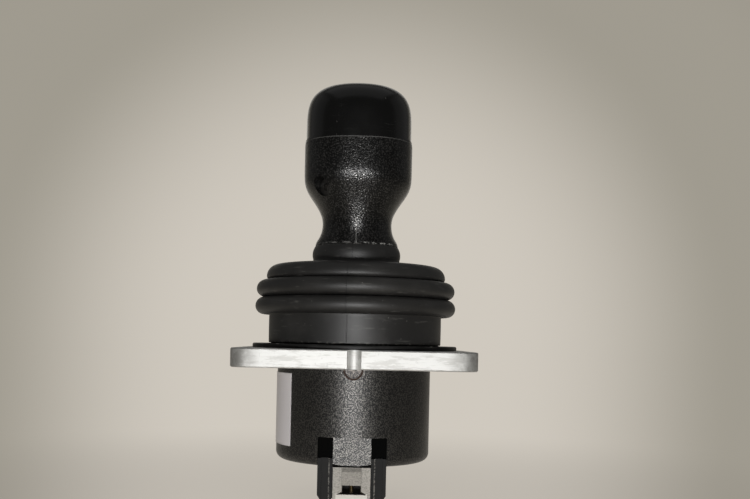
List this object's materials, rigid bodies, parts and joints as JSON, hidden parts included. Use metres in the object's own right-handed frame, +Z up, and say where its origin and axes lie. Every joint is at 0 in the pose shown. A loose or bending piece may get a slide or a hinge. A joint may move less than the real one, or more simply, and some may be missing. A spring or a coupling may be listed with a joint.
{
  "type": "joystick controller",
  "caption": "Two-axis hand joystick: waisted grip with a smooth cap, rubber bellows boot, square flange plate, round sensor housing and a sealed plug connector below.",
  "frame": {"origin": "centre of the mounting plate's underside, the face that sits on the panel", "axes": "+Z up along the lever at rest, +X to the operator's right, +Y away from the operator; the notch and the connector face -Y"},
  "size_m": [0.09, 0.09, 0.164],
  "materials": {
    "plate_aluminium": "milled, lightly scratched",
    "black_plastic": "moulded matt black",
    "housing_plastic": "fine spark texture, black",
    "connector_plastic": "smooth moulded black",
    "cap_plastic": "smooth satin black",
    "grip_rubber": "pebble-grained black",
    "boot_rubber": "dusty matt black",
    "seal_rubber": "matt",
    "label_film": "bare matt film",
    "dark_steel": "black oxide",
    "zinc_steel": "zinc plated",
    "bright_steel": "ground",
    "spring_steel": "drawn wire",
    "cast_alloy": "die cast",
    "bronze": "sintered bronze",
    "contact_brass": "brass",
    "board_laminate": "green solder mask",
    "chip_plastic": "moulded package"
  },
  "bodies": {
    "base": {"mounting_plate": "plate_aluminium", "boot_retaining_ring": "black_plastic", "ring_screws": "dark_steel", "gate_plate": "bright_steel", "gate_screws": "zinc_steel", "boot": "boot_rubber", "lower_housing": "housing_plastic", "housing_seal": "seal_rubber", "housing_screws": "zinc_steel", "identification_label": "label_film", "gimbal_carrier": "cast_alloy", "carrier_bushes": "bronze", "gimbal_springs": "spring_steel", "circuit_board": "board_laminate", "board_screws": "zinc_steel", "hall_sensor": "chip_plastic", "board_components": "chip_plastic", "connector_header": "connector_plastic", "connector_pins": "contact_brass", "connector_seal": "seal_rubber", "header_screws": "dark_steel"},
    "gimbal": {"gimbal_ring": "cast_alloy", "gimbal_pins": "bright_steel", "lever_bushes": "bronze", "lever_springs": "spring_steel"},
    "lever": {"pivot_block": "bright_steel", "lever_pivot_pin": "bright_steel", "lever_shaft": "bright_steel", "shaft_lock_nut": "zinc_steel", "magnet_holder": "black_plastic", "sensor_magnet": "zinc_steel", "boot_hub": "black_plastic", "hub_clip": "spring_steel", "grip_body": "grip_rubber", "grip_insert": "contact_brass", "grip_clamp_screw": "dark_steel", "grip_cap": "cap_plastic"}
  },
  "joints": [
    {"name": "tilt_fore_aft", "type": "hinge", "parent": "base", "child": "gimbal", "pos_m": [0, 0, -0.007], "axis": [1, 0, 0], "range_deg": [-20, 20], "stiffness_Nm_per_rad": 2, "deforming": ["boot", "gimbal_springs"]},
    {"name": "tilt_left_right", "type": "hinge", "parent": "gimbal", "child": "lever", "pos_m": [0, 0, -0.007], "axis": [0, 1, 0], "range_deg": [-20, 20], "stiffness_Nm_per_rad": 2, "deforming": ["boot", "lever_springs"]}
  ]
}
